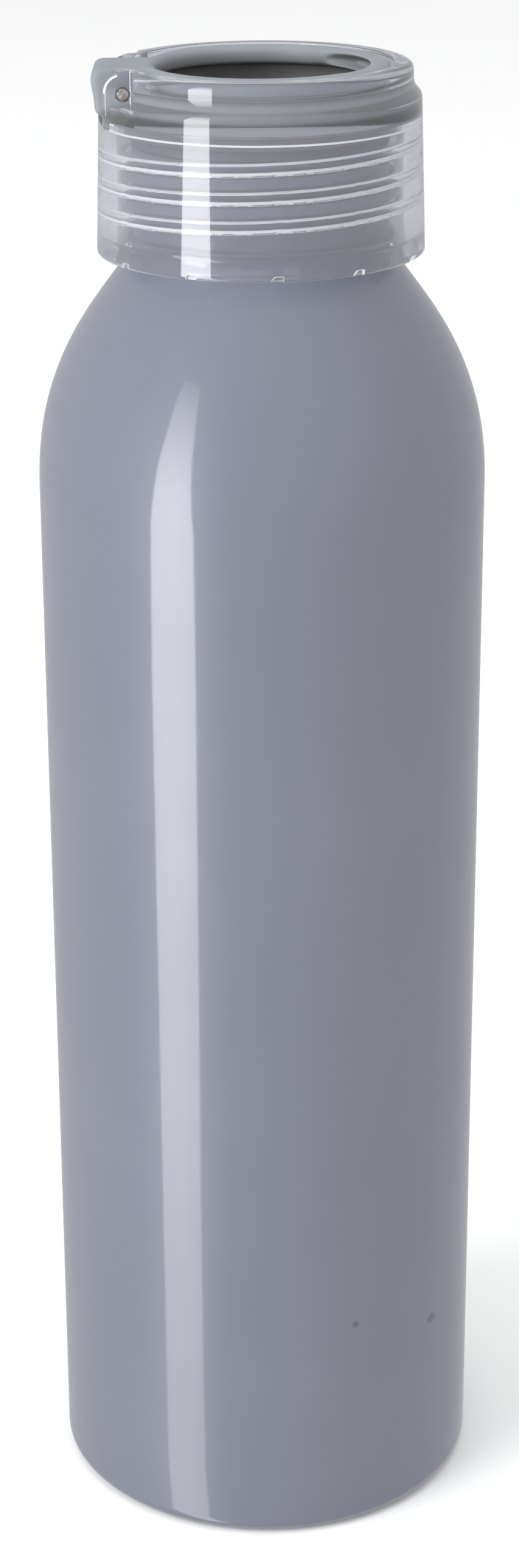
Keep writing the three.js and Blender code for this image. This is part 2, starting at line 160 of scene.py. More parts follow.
# ---- carry ring -----------------------------------------------------------
RING_HOLE_R = 14.8
RING_OUTER_R = 18.5
RING_BOTTOM_Z = 221.86
RING_TOP_Z = 224.3
RING_INNER_EDGE_R = 1.4
KNUCKLE_HALF = 5.7
KNUCKLE_INNER_X = -13.4
KNUCKLE_LOW_Z = 217.7
TRIM_R = 23.4
TRIM_SHIFT_X = 7.0
TRIM_LOW_Z = 220.0
HOLE_LOW_Z = 219.0
RING_CUT_HIGH_Z = 226.0
RING_VOXEL = 0.16
PIN_BORE_GAP = 0.05
SCOOP_MID_R = 14.5
SCOOP_DEPTH = 2.1
SCOOP_MID_Z = 222.95
SCOOP_HALF_HEIGHT = 1.05
SCOOP_MID_DEG = 6
SCOOP_HALF_DEG = 46
SCOOP_SOFT_R = 17.8
SCOOP_SOFT_DEG = 9
TAB_SOFT_X = -18.0
TAB_SOFT_LENGTH = 2.0
RING_SOFTENING = 60
SCOOP_SOFTENING = 110
TAB_SOFTENING = 90

# ---- hinge pin ------------------------------------------------------------
PIN_CHAMFER = 0.14
PIN_RAGGED_LENGTH = 0.2
PIN_RAGGEDNESS = 0.12

# ---- the cap's material slots after the clear plastic, which is slot 0 -----
RECESS_SLOT = 1
PAINTED_REFLECTION_SLOT = 2


# ===========================================================================
# Mesh helpers
# ===========================================================================
def mesh_piece(name, points, faces):
    """An object in metres from points in millimetres."""
    mesh = bpy.data.meshes.new(name)
    mesh.from_pydata([tuple(c * MM for c in p) for p in points], [], faces)
    mesh.update()
    piece = bpy.data.objects.new(name, mesh)
    bpy.context.scene.collection.objects.link(piece)
    return piece


def outward(piece):
    """Turns every face outwards."""
    bm = bmesh.new()
    bm.from_mesh(piece.data)
    bmesh.ops.remove_doubles(bm, verts=bm.verts, dist=1e-7)
    bmesh.ops.recalc_face_normals(bm, faces=bm.faces)
    bm.to_mesh(piece.data)
    bm.free()
    return piece


def turned(name, profile, steps=TURN_STEPS, second_from=None):
    """Turns a list of (radius, height) about Z.

    The profile ends on the axis, or its last point joins its first. Faces past the profile's point number
    second_from take the second material."""
    points = []
    rings = []
    for r, z in profile:
        if r < 1e-6:
            rings.append([len(points)])
            points.append((0.0, 0.0, z))
            continue
        first = len(points)
        for i in range(steps):
            a = 2 * math.pi * i / steps
            points.append((r * math.cos(a), r * math.sin(a), z))
        rings.append(list(range(first, first + steps)))
    pairs = list(zip(rings, rings[1:]))
    if len(rings[0]) > 1:
        pairs.append((rings[-1], rings[0]))
    faces = []
    second = set()
    for number, (low, high) in enumerate(pairs):
        for i in range(steps):
            if second_from is not None and number >= second_from:
                second.add(len(faces))
            j = (i + 1) % steps
            corners = [low[i % len(low)], low[j % len(low)], high[j % len(high)], high[i % len(high)]]
            kept = list(dict.fromkeys(corners))
            if len(kept) > 2:
                faces.append(kept)
    piece = mesh_piece(name, points, faces)
    for number in second:
        piece.data.polygons[number].material_index = 1
    return outward(piece)


def extruded(name, outline, low, high, plane="XZ"):
    """A slab: the outline is [x, z] pushed along Y, or [x, y] pushed along Z."""
    def place(u, v, w):
        return (u, w, v) if plane == "XZ" else (u, v, w)

    n = len(outline)
    points = [place(u, v, low) for u, v in outline] + [place(u, v, high) for u, v in outline]
    faces = [list(range(n)), list(range(n, 2 * n))]
    faces += [[i, (i + 1) % n, n + (i + 1) % n, n + i] for i in range(n)]
    return outward(mesh_piece(name, points, faces))


def box_piece(name, x, y, z):
    """A box between the two limits given for each axis."""
    return extruded(name, [(x[0], z[0]), (x[1], z[0]), (x[1], z[1]), (x[0], z[1])], y[0], y[1])


def rod_y(name, radius, half, steps=64):
    """A rod round the pin's axis."""
    circle = []
    for i in range(steps):
        a = 2 * math.pi * i / steps
        circle.append((PIN_X + radius * math.cos(a), PIN_Z + radius * math.sin(a)))
    return extruded(name, circle, -half, half)


def bake(piece):
    """Applies the piece's modifiers to its mesh."""
    graph = bpy.context.evaluated_depsgraph_get()
    done = bpy.data.meshes.new_from_object(piece.evaluated_get(graph))
    old = piece.data
    piece.modifiers.clear()
    piece.data = done
    bpy.data.meshes.remove(old)
    return piece


def bevelled(piece, width, segments, angle_deg=30):
    """Rounds the edges sharper than the angle."""
    mod = piece.modifiers.new("edge", "BEVEL")
    mod.width = width * MM
    mod.segments = segments
    mod.limit_method = "ANGLE"
    mod.angle_limit = math.radians(angle_deg)
    return bake(piece)


def give_materials(piece, *materials):
    """Fills the mesh's slots in order. A cut leaves an empty first slot behind, which is used too."""
    slots = piece.data.materials
    for number, material in enumerate(materials):
        if number < len(slots):
            slots[number] = material
        else:
            slots.append(material)
    return piece


def combine(piece, tool, operation):
    """Joins or cuts with a tool, whose faces take the piece's first material."""
    give_materials(tool, *piece.data.materials)
    mod = piece.modifiers.new("cut", "BOOLEAN")
    mod.solver = "MANIFOLD"
    mod.operation = operation
    mod.object = tool
    bake(piece)
    bpy.data.objects.remove(tool)
    return piece


def join(piece, tool):
    return combine(piece, tool, "UNION")


def cut(piece, tool):
    return combine(piece, tool, "DIFFERENCE")


def keep_common(piece, tool):
    return combine(piece, tool, "INTERSECT")


def smooth_shaded(piece, sharp_deg=32):
    """Shades the piece smooth, except at edges sharper than the angle."""
    for face in piece.data.polygons:
        face.use_smooth = True
    piece.data.set_sharp_from_angle(angle=math.radians(sharp_deg))
    return piece


def bezier(points, steps):
    """Points along a quadratic or cubic Bezier curve, both ends included."""
    path = []
    for i in range(steps + 1):
        t = i / steps
        level = [Vector(p) for p in points]
        while len(level) > 1:
            level = [a.lerp(b, t) for a, b in zip(level, level[1:])]
        path.append((level[0].x, level[0].y))
    return path


def filleted(corners, closed=False, step_deg=12):
    """A path through (u, v, fillet radius) corners, with each corner rounded to its radius."""
    path = []
    count = len(corners)
    for i, (u, v, radius) in enumerate(corners):
        here = Vector((u, v))
        at_end = not closed and i in (0, count - 1)
        if radius <= 0 or at_end:
            path.append((u, v))
            continue
        before = Vector(corners[i - 1][:2]) - here
        after = Vector(corners[(i + 1) % count][:2]) - here
        half = before.angle(after) / 2
        if half > math.radians(89.5):
            path.append((u, v))
            continue
        reach = min(radius / math.tan(half), 0.49 * before.length, 0.49 * after.length)
        radius = reach * math.tan(half)
        centre = here + (before.normalized() + after.normalized()).normalized() * (radius / math.sin(half))
        first = here + before.normalized() * reach - centre
        last = here + after.normalized() * reach - centre
        steps = max(2, round(math.degrees(first.angle(last)) / step_deg))
        for k in range(steps + 1):
            spoke = first.slerp(last, k / steps).normalized() * radius
            path.append((centre.x + spoke.x, centre.y + spoke.y))
    return path


def loft_faces(steps, around):
    """Faces of a closed tube of steps + 1 sections with around points each, capped at both ends."""
    faces = [list(range(around)), list(range(steps * around, (steps + 1) * around))]
    for i in range(steps):
        for k in range(around):
            m = (k + 1) % around
            faces.append([i * around + k, i * around + m, (i + 1) * around + m, (i + 1) * around + k])
    return faces


def helix_ridge(name, root, crest, root_half, crest_half, front_z, start, end):
    """A rounded thread ridge that climbs to the right seen from the front, fading out at both ends.

    start and end are angles in degrees from the front, where the ridge's middle is at front_z."""
    outwards = 1 if crest > root else -1
    buried = root - outwards * THREAD_EMBED
    height = abs(crest - root)
    ridge = filleted(
        [
            (0, -root_half, 0),
            (0.45 * height, -0.55 * root_half - 0.45 * crest_half, 0),
            (height, -crest_half, THREAD_CORNER_R),
            (height, crest_half, THREAD_CORNER_R),
            (0, root_half, 0),
        ],
        step_deg=22,
    )
    steps = round((end - start) / 360 * THREAD_STEPS)
    points = []
    for i in range(steps + 1):
        deg = start + (end - start) * i / steps
        fade = min(1.0, (deg - start) / THREAD_FADE_DEG, (end - deg) / THREAD_FADE_DEG)
        fade = max(0.02, math.sin(fade * math.pi / 2))
        a = math.radians(deg)
        z = front_z + THREAD_PITCH * deg / 360
        section = [(buried, -root_half)]
        section += [(root + outwards * h * fade, dz) for h, dz in ridge]
        section += [(buried, root_half)]
        points += [(r * math.sin(a), -r * math.cos(a), z + dz) for r, dz in section]
    return outward(mesh_piece(name, points, loft_faces(steps, len(ridge) + 2)))


# ===========================================================================
# Materials
# ===========================================================================
def new_material(name):
    material = bpy.data.materials.new(name)
    material.use_nodes = True
    tree = material.node_tree
    tree.nodes.clear()
    return material, tree


def feed(tree, socket, value):
    """Links the input to a socket, or sets it to a plain value."""
    if isinstance(value, bpy.types.NodeSocket):
        tree.links.new(value, socket)
    else:
        socket.default_value = value


def add(tree, kind, settings=None, **inputs):
    """A node with its settings and inputs. An input goes by its number, as i0 or i1, or by its name."""
    made = tree.nodes.new(kind)
    for key, value in (settings or {}).items():
        setattr(made, key, value)
    for key, value in inputs.items():
        by_number = key[0] == "i" and key[1:].isdigit()
        feed(tree, made.inputs[int(key[1:]) if by_number else key.replace("_", " ")], value)
    return made


def object_coords(tree):
    return add(tree, "ShaderNodeTexCoord").outputs["Object"]


def noise_value(tree, coords, scale, detail=2.0, roughness=0.5):
    made = add(tree, "ShaderNodeTexNoise", Vector=coords, Scale=scale, Detail=detail, Roughness=roughness)
    return made.outputs["Fac"]


def ranged(tree, value, low, high, from_low=0.35, from_high=0.65):
    """Maps from_low to low and from_high to high. By default it spreads the middle of a noise's range."""
    made = add(
        tree,
        "ShaderNodeMapRange",
        Value=value,
        From_Min=from_low,
        From_Max=from_high,
        To_Min=low,
        To_Max=high,
    )
    return made.outputs["Result"]


def bumped(tree, value, distance_mm, strength=1.0):
    made = add(tree, "ShaderNodeBump", Height=value, Distance=distance_mm * MM, Strength=strength)
    return made.outputs["Normal"]


def blended(tree, factor, first, second):
    """The first colour where factor is 0, the second where it is 1."""
    made = add(tree, "ShaderNodeMix", {"data_type": "RGBA"})
    tree.links.new(factor, made.inputs["Factor"])
    feed(tree, made.inputs["A"], first)
    feed(tree, made.inputs["B"], second)
    return made.outputs["Result"]


def mathed(tree, operation, first, second):
    return add(tree, "ShaderNodeMath", {"operation": operation}, i0=first, i1=second).outputs[0]


def vector_mathed(tree, operation, first, second):
    return add(tree, "ShaderNodeVectorMath", {"operation": operation}, i0=first, i1=second).outputs[0]


def vector_length(tree, vector):
    return add(tree, "ShaderNodeVectorMath", {"operation": "LENGTH"}, i0=vector).outputs["Value"]


def radius_of(tree, coords):
    """Distance from the bottle's axis."""
    return vector_length(tree, vector_mathed(tree, "MULTIPLY", coords, (1.0, 1.0, 0.0)))


def height_of(tree, coords):
    return add(tree, "ShaderNodeSeparateXYZ", Vector=coords).outputs["Z"]


def greater(tree, value, limit):
    return mathed(tree, "GREATER_THAN", value, limit)


def either(tree, first, second):
    return mathed(tree, "MAXIMUM", first, second)


def finish_surface(tree, shader):
    out = add(tree, "ShaderNodeOutputMaterial")
    tree.links.new(shader.outputs[0], out.inputs["Surface"])


def speck_mask(tree, coords, centre_mm, radii_mm):
    """1 inside a small soft-edged spot on the surface, 0 elsewhere."""
    centre = tuple(c * MM for c in centre_mm)
    scale = tuple(1 / (r * MM) for r in radii_mm)
    moved = vector_mathed(tree, "SUBTRACT", coords, centre)
    scaled = vector_mathed(tree, "MULTIPLY", moved, scale)
    return ranged(tree, vector_length(tree, scaled), 1.0, 0.0, 0.75, 1.1)


def paint_material():
    """Glossy grey paint with a faint orange peel, and the two small dark marks low on its front right."""
    material, tree = new_material("bottle_paint")
    coords = object_coords(tree)
    cloud = ranged(tree, noise_value(tree, coords, 28.0, 3.0), 0.0, 1.0)
    colour = blended(tree, cloud, (0.139, 0.150, 0.188, 1), (0.147, 0.158, 0.197, 1))
    for centre, radii in PAINT_MARKS:
        colour = blended(tree, speck_mask(tree, coords, centre, radii), colour, (0.09, 0.097, 0.122, 1))
    peel = noise_value(tree, coords, 420.0, 2.0)
    fine = noise_value(tree, coords, 5200.0, 1.0)
    shader = add(
        tree,
        "ShaderNodeBsdfPrincipled",
        Base_Color=colour,
        Roughness=ranged(tree, noise_value(tree, coords, 60.0), 0.36, 0.42),
        Metallic=0.0,
        Coat_Weight=1.0,
        Coat_Roughness=ranged(tree, fine, 0.05, 0.08),
        Coat_IOR=1.5,
    )
    tree.links.new(bumped(tree, peel, 0.006), shader.inputs["Normal"])
    tree.links.new(bumped(tree, peel, 0.004), shader.inputs["Coat Normal"])
    finish_surface(tree, shader)
    return material


def lacquer_material():
    """The bare inside of the can under a thin clear lacquer, with fine drawing lines round it."""
    material, tree = new_material("inner_lacquer")
    coords = object_coords(tree)
    lines = noise_value(tree, vector_mathed(tree, "MULTIPLY", coords, (30.0, 30.0, 2600.0)), 1.0, 2.0)
    shader = add(
        tree,
        "ShaderNodeBsdfPrincipled",
        Base_Color=blended(tree, ranged(tree, lines, 0, 1), (0.26, 0.255, 0.24, 1), (0.33, 0.32, 0.30, 1)),
        Metallic=0.85,
        Roughness=ranged(tree, lines, 0.3, 0.45),
    )
    tree.links.new(bumped(tree, lines, 0.01), shader.inputs["Normal"])
    finish_surface(tree, shader)
    return material


CLEAR_ROUGHNESS = 0.025
CLEARNESS = 0.915
SHOULDER_HAZE_AND_PAINTED_LIGHT = 0.12


def clear_material():
    """Clear moulded plastic with a slight haze, hazier on the rounded shoulder between skirt and collar,
    where the extra haze is also painted light that lifts a dark wedge of shade.

    Shadow and diffuse rays pass straight through it, slightly dimmed, so the neck inside is lit."""
    material, tree = new_material("clear_plastic")
    coords = object_coords(tree)
    smear = noise_value(tree, coords, 180.0, 3.0)
    wave = noise_value(tree, coords, 90.0, 1.0)
    height = height_of(tree, coords)
    # The shoulder's extra haze is partly painted light, lifting a dark wedge of shade.
    above_skirt = ranged(tree, height, 0.0, 1.0, (SKIRT_SHOULDER_Z - 1.5) * MM, SKIRT_SHOULDER_Z * MM)
    below_collar = ranged(tree, height, 1.0, 0.0, COLLAR_FOOT_Z * MM, (COLLAR_FOOT_Z + 1.0) * MM)
    on_shoulder = mathed(tree, "MULTIPLY", above_skirt, below_collar)
    glass = add(
        tree,
        "ShaderNodeBsdfPrincipled",
        Base_Color=(0.545, 0.557, 0.60, 1),
        Roughness=ranged(tree, smear, CLEAR_ROUGHNESS - 0.02, CLEAR_ROUGHNESS + 0.02),
        IOR=1.57,
        Transmission_Weight=ranged(tree, on_shoulder, CLEARNESS, CLEARNESS - SHOULDER_HAZE_AND_PAINTED_LIGHT, 0.0, 1.0),
        Coat_Weight=0.5,
        Coat_Roughness=0.06,
    )
    tree.links.new(bumped(tree, wave, 0.004), glass.inputs["Normal"])
    through = add(tree, "ShaderNodeBsdfTransparent", Color=(0.92, 0.922, 0.93, 1))
    path = add(tree, "ShaderNodeLightPath")
    passing = either(tree, path.outputs["Is Shadow Ray"], path.outputs["Is Diffuse Ray"])
    mixed = add(tree, "ShaderNodeMixShader", i0=passing, i1=glass.outputs[0], i2=through.outputs[0])
    finish_surface(tree, mixed)
    return material


def recess_material():
    """The matt recess under the ring.

    Looking in from above, its pit takes a darker copy of the grey, as painted shade. The ledge round it is
    grey, and so is all of it when seen from outside through the clear wall."""
    material, tree = new_material("ring_recess")
    coords = object_coords(tree)
    cloud = ranged(tree, noise_value(tree, coords, 300.0, 3.0), 0.0, 1.0)
    # The pit's colour is painted shade, a darker copy of the grey.
    pit = blended(tree, cloud, (0.125, 0.123, 0.122, 1), (0.152, 0.149, 0.148, 1))
    grey = blended(tree, cloud, (0.165, 0.168, 0.18, 1), (0.19, 0.193, 0.205, 1))
    from_outside = add(tree, "ShaderNodeNewGeometry").outputs["Backfacing"]
    past_pit = greater(tree, radius_of(tree, coords), (RECESS_LOWER_R + 0.1) * MM)
    clear_of_pit_shade = either(tree, from_outside, past_pit)
    shader = add(
        tree,
        "ShaderNodeBsdfPrincipled",
        Base_Color=blended(tree, clear_of_pit_shade, pit, grey),
        Roughness=0.5,
        Specular_IOR_Level=0.2,
    )
    finish_surface(tree, shader)
    return material


def painted_reflection_material():
    """Matt white faces inside the clear plastic: painted reflection for the bright lines of the thread
    flanks, the step and the ratchet walls, and a painted highlight on the lug's rim.
    """
    material, tree = new_material("painted_reflection_faces")
    grain = noise_value(tree, object_coords(tree), 2500.0, 2.0)
    shader = add(
        tree,
        "ShaderNodeBsdfPrincipled",
        Base_Color=blended(tree, ranged(tree, grain, 0, 1), (0.85, 0.86, 0.88, 1), (0.95, 0.96, 0.98, 1)),
        Roughness=0.5,
        Transmission_Weight=0.15,
    )
    finish_surface(tree, shader)
    return material


def ring_material():
    """Satin grey plastic, with painted shade that darkens the wall of the ring's hole where ambient
    occlusion is low.
    """
    material, tree = new_material("ring_plastic")
    coords = object_coords(tree)
    cloud = ranged(tree, noise_value(tree, coords, 160.0, 3.0), 0.0, 1.0)
    grain = noise_value(tree, coords, 9000.0, 2.0)
    plastic = blended(tree, cloud, (0.214, 0.231, 0.253, 1), (0.231, 0.249, 0.272, 1))
    # Painted shade: ambient occlusion turns the hole's wall dark grey.
    openness_for_painted_shade = add(tree, "ShaderNodeAmbientOcclusion", {"samples": 8}, Distance=12 * MM).outputs["AO"]
    past_hole = greater(tree, radius_of(tree, coords), (RING_HOLE_R + RING_INNER_EDGE_R) * MM)
    lit = either(tree, ranged(tree, openness_for_painted_shade, 0.0, 1.0, 0.45, 1.0), past_hole)
    shader = add(
        tree,
        "ShaderNodeBsdfPrincipled",
        Base_Color=blended(tree, lit, (0.115, 0.118, 0.121, 1), plastic),
        Roughness=ranged(tree, grain, 0.42, 0.55),
        Subsurface_Weight=0.15,
        Subsurface_Radius=(0.001, 0.001, 0.001),
        Subsurface_Scale=1.0,
    )
    tree.links.new(bumped(tree, grain, 0.008), shader.inputs["Normal"])
    finish_surface(tree, shader)
    return material


def seal_material():
    """Matt grey silicone with a fine grain."""
    material, tree = new_material("seal_silicone")
    grain = noise_value(tree, object_coords(tree), 4000.0, 2.0)
    cloud = ranged(tree, grain, 0, 1)
    shader = add(
        tree,
        "ShaderNodeBsdfPrincipled",
        Base_Color=blended(tree, cloud, (0.105, 0.118, 0.140, 1), (0.125, 0.138, 0.160, 1)),
        Roughness=0.6,
    )
    tree.links.new(bumped(tree, grain, 0.01), shader.inputs["Normal"])
    finish_surface(tree, shader)
    return material


def steel_material():
    """Pitted, cropped steel with lighter and darker patches."""
    material, tree = new_material("pin_steel")
    pits = noise_value(tree, object_coords(tree), 1800.0, 4.0, 0.65)
    shader = add(
        tree,
        "ShaderNodeBsdfPrincipled",
        Base_Color=blended(tree, ranged(tree, pits, 0, 1), (0.28, 0.26, 0.23, 1), (0.62, 0.59, 0.55, 1)),
        Metallic=1.0,
        Roughness=ranged(tree, pits, 0.55, 0.3),
    )
    tree.links.new(bumped(tree, pits, 0.12), shader.inputs["Normal"])
    finish_surface(tree, shader)
    return material


# ===========================================================================
# Pieces
# ===========================================================================
def dress(piece, body, node):
    """Makes the piece ride on its body and stand for its CAD node."""
    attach(piece, body)
    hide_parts(node)
    return piece


def shoulder_path(inset):
    """The shoulder's outside, or its inside when inset is the wall."""
    curve = bezier(SHOULDER, SHOULDER_STEPS)
    path = []
    for i, (r, z) in enumerate(curve):
        before = Vector(curve[max(i - 1, 0)])
        after = Vector(curve[min(i + 1, len(curve) - 1)])
        along = (after - before).normalized()
        path.append((r - inset * along.y, z + inset * along.x))
    return path


def bead_path():
    """The small rounded bead round the foot of the neck."""
    path = []
    for i in range(BEAD_STEPS + 1):
        t = -1 + 2 * i / BEAD_STEPS
        path.append((NECK_R + BEAD_HEIGHT * math.cos(t * math.pi / 2) ** 2, BEAD_Z + t * BEAD_HALF))
    return path


def wall_height_steps(low, high, count):
    """Points up the straight wall between two heights, both left out."""
    return [(BODY_R, low + (high - low) * i / count) for i in range(1, count)]


def bottle_profile():
    """The outside from the base's centre up to the rim, then the inside back down.

    Returns the profile and the index where its inside begins."""
    base = filleted(
        [
            (0, BASE_DOME_RISE, 0),
            (14, BASE_DOME_RISE - 0.9, 30),
            (22.6, 1.2, 3),
            (STAND_RING_INNER_R, 0, 1.2),
            (BODY_R, 0, BASE_CORNER_R),
            (BODY_R, BASE_BLEND_Z, 0),
        ],
        step_deg=9,
    )
    neck_foot = bezier([SHOULDER[-1], (NECK_R, 198.4), (NECK_R, NECK_FOOT_Z)], 8)[1:]
    rim_r = NECK_WALL / 2
    rim = filleted(
        [
            (NECK_R, RIM_Z - 3, 0),
            (NECK_R, RIM_Z, rim_r * 0.98),
            (NECK_R - NECK_WALL, RIM_Z, rim_r * 0.98),
            (NECK_R - NECK_WALL, RIM_Z - 3, 0),
        ],
        step_deg=15,
    )
    wall = wall_height_steps(BASE_BLEND_Z, SHOULDER[0][1], 6)
    outside = base + wall + shoulder_path(0) + neck_foot + bead_path()
    inner_neck = NECK_R - NECK_WALL
    inside = [(inner_neck, NECK_FOOT_Z), (inner_neck + 0.25, 198.2)]
    inside += shoulder_path(BODY_WALL)[::-1]
    floor = filleted(
        [
            (BODY_R - BODY_WALL, BASE_BLEND_Z, 0),
            (BODY_R - BODY_WALL, BODY_WALL, BASE_CORNER_R - BODY_WALL),
            (STAND_RING_INNER_R + 0.4, BODY_WALL, 0.8),
            (22.6, 2.5, 2),
            (14, BASE_DOME_RISE + 0.4, 30),
            (0, BASE_DOME_RISE + 1.3, 0),
        ],
        step_deg=12,
    )
    return outside + rim + inside + floor, len(outside) + len(rim) - 2


def bottle(paint, lacquer):
    """The can. Its inside is bare metal under lacquer."""
    profile, inside_from = bottle_profile()
    shell = give_materials(turned("bottle_shell", profile, BOTTLE_STEPS, inside_from), paint, lacquer)
    join(shell, helix_ridge("neck_thread", **NECK_THREAD))
    dress(shell, "bottle", "bottle_body")
    return smooth_shaded(shell)


def cap_profile():
    """From the deck's underside over the groove, down the bore, up the skirt and into the recess."""
    return filleted(
        [
            (0, DECK_UNDER_Z, 0),
            (DECK_EDGE_R, DECK_UNDER_Z, 0.12),
            (DECK_EDGE_R, CORNER_GROOVE_TOP_Z, 0.15),
            (CORNER_GROOVE_R, CORNER_GROOVE_TOP_Z, 0.3),
            (CORNER_GROOVE_R, CORNER_STEP_Z, 0.1),
            (CAP_BORE_R, CORNER_STEP_Z - 0.12, 0.12),
            (CAP_BORE_R, SKIRT_MOUTH_Z, 1.5),
            (21.35, SKIRT_FLARE_Z, 0.8),
            (21.6, SKIRT_BOTTOM_Z, 0.35),
            (SKIRT_BOTTOM_R, SKIRT_BOTTOM_Z, 0.5),
            (SKIRT_TOP_R, SKIRT_SHOULDER_Z, 1.5),
            (COLLAR_FOOT_R, COLLAR_FOOT_Z, 2.2),
            (COLLAR_TOP_R, CAP_TOP_Z, 1.1),
            (RECESS_R, CAP_TOP_Z, 0.3),
            (RECESS_R, LEDGE_Z, 0.15),
            (RECESS_LOWER_R, LEDGE_Z, 0.25),
            (RECESS_LOWER_R, DECK_TOP_Z, 0.8),
            (0, DECK_TOP_Z, 0),
        ],
        step_deg=10,
    )


def lug(side):
    """One of the two rounded ears that hold the pin. side is -1 in front and 1 behind."""
    foot_z = LUG_BOTTOM_Z - LUG_FOOT_DEPTH
    outline = filleted(
        [
            (LUG_ROOT_X, foot_z, 0),
            (PIN_X - LUG_R, foot_z, 0),
            (PIN_X - LUG_R, PIN_Z + LUG_R, LUG_R * 0.98),
            (PIN_X + LUG_R * 0.9, PIN_Z + LUG_R, LUG_R * 0.98),
            (LUG_ROOT_X, PIN_Z + LUG_ROOT_RISE, 0),
        ],
        step_deg=8,
    )
    near, far = sorted((side * LUG_INNER_Y, side * LUG_OUTER_Y))
    return bevelled(extruded("lug", outline, near, far), LUG_ROUNDING, 7)


def face_notch(side):
    """The hollow in the collar's outside that leaves the lug's pin-hole face open."""
    far = side * NOTCH_PAST_Y
    outline = filleted(
        [
            (CUT_PAST_X, side * LUG_OUTER_Y, 0.1),
            (NOTCH_X, side * LUG_OUTER_Y, 0.9),
            (NOTCH_X, far, 0.1),
            (CUT_PAST_X, far, 0.1),
        ],
        closed=True,
    )
    return extruded("notch", outline, LUG_BOTTOM_Z, CUT_PAST_Z, "XY")


def ratchet(index):
    """The cutter for one small mark with a sloped corner in the skirt's bottom edge."""
    half = RATCHET_HALF_WIDTH
    low = SKIRT_BOTTOM_Z - 0.5
    high = SKIRT_BOTTOM_Z + RATCHET_HEIGHT
    outline = [(-half, low), (half, low), (half, high), (-0.35 * half, high), (-half, high - RATCHET_SLOPE)]
    tool = extruded("ratchet", outline, -SKIRT_BOTTOM_R - 1, -SKIRT_BOTTOM_R + RATCHET_DEPTH)
    tool.data.transform(Matrix.Rotation(math.radians(RATCHET_FIRST_DEG + index * 360 / RATCHETS), 4, "Z"))
    return tool


FLANK_TILT = 0.6
STEP_TILT = 0.25


def is_thread_flank(centre, normal, radius):
    """The thread's steep faces, which take the painted reflection. The lower one takes it near its crest
    only.
    """
    between_root_and_crest = CAP_THREAD_CREST_R + 0.05 < radius < CAP_BORE_R - 0.15
    in_thread = between_root_and_crest and SKIRT_FLARE_Z < centre.z < DECK_UNDER_Z
    upper = normal.z > FLANK_TILT
    lower = normal.z < -FLANK_TILT and radius < CAP_THREAD_CREST_R + 0.6
    return in_thread and (upper or lower)


def is_corner_step(centre, normal, radius):
    """The narrow step above the thread, facing down."""
    on_step = CORNER_GROOVE_R < radius < CAP_BORE_R and abs(centre.z - CORNER_STEP_Z) < 0.3
    return on_step and normal.z < -STEP_TILT


def is_ratchet_wall(centre, normal, radius):
    """The walls of the marks in the skirt's bottom edge, which don't face outwards."""
    outward_share = abs(normal.x * centre.x + normal.y * centre.y) / radius
    return radius > SKIRT_BOTTOM_R - 0.86 and 0.1 < centre.z - SKIRT_BOTTOM_Z < 0.9 and outward_share < 0.5


def is_painted_highlight_lug_rim(centre, normal, radius):
    """The rounded edge round the top of the lug in front, where a painted highlight goes."""
    from_pin = math.hypot(centre.x - PIN_X, centre.z - PIN_Z)
    round_pin = from_pin > LUG_R - 0.45 and centre.z > PIN_Z and centre.x < PIN_X + 1
    in_front = centre.y < -LUG_INNER_Y and 0.55 < -normal.y < 0.9
    return radius > 19.5 and round_pin and in_front


def is_groove(centre, radius):
    """The groove between the deck and the wall."""
    across = DECK_EDGE_R - 0.2 < radius < CORNER_GROOVE_R - 0.02
    return across and DECK_UNDER_Z < centre.z < CORNER_GROOVE_TOP_Z + 0.02


def finish_inner_faces(cap):
    """Faces painted matt white show as white lines: painted reflection on the thread flanks, the step and
    the ratchet walls, and a painted highlight on the lug's rim. The groove is lined grey like the recess.
    """
    painted_reflection_tests = (is_thread_flank, is_corner_step, is_ratchet_wall, is_painted_highlight_lug_rim)
    for face in cap.data.polygons:
        centre = face.center / MM
        radius = math.hypot(centre.x, centre.y)
        if any(test(centre, face.normal, radius) for test in painted_reflection_tests):
            face.material_index = PAINTED_REFLECTION_SLOT
        elif is_groove(centre, radius):
            face.material_index = RECESS_SLOT


def screw_cap(clear, recess, matt):
    """The clear cap. It is lined from the ledge down, and the wall above the ledge is clear."""
    profile = cap_profile()
    recess_from = next(i for i, (r, z) in enumerate(profile) if abs(z - LEDGE_Z) < 0.2 and r < RECESS_R)
    cap = give_materials(turned("cap_shell", profile, FINE_TURN_STEPS, recess_from), clear, recess, matt)
    for side in (-1, 1):
        cut(cap, face_notch(side))
        join(cap, lug(side))
    slot_y = (-LUG_INNER_Y, LUG_INNER_Y)
    cut(cap, box_piece("slot", (CUT_PAST_X, SLOT_INNER_X), slot_y, (SLOT_FLOOR_Z, CUT_PAST_Z)))
    pocket = rod_y("pocket", POCKET_R, LUG_INNER_Y - 0.02, 96)
    pocket_y = (-LUG_INNER_Y - 1, LUG_INNER_Y + 1)
    pocket_z = (POCKET_FLOOR_Z, CUT_PAST_Z)
    keep_common(pocket, box_piece("pocket_bounds", (CUT_PAST_X, POCKET_INNER_X), pocket_y, pocket_z))
    cut(cap, pocket)
    cut(cap, rod_y("bore", LUG_BORE_R, LUG_OUTER_Y + 1))
    for index in range(RATCHETS):
        cut(cap, ratchet(index))
    join(cap, helix_ridge("cap_thread", **CAP_THREAD))
    finish_inner_faces(cap)
    dress(cap, "cap", "screw_cap")
    return smooth_shaded(cap, sharp_deg=30)


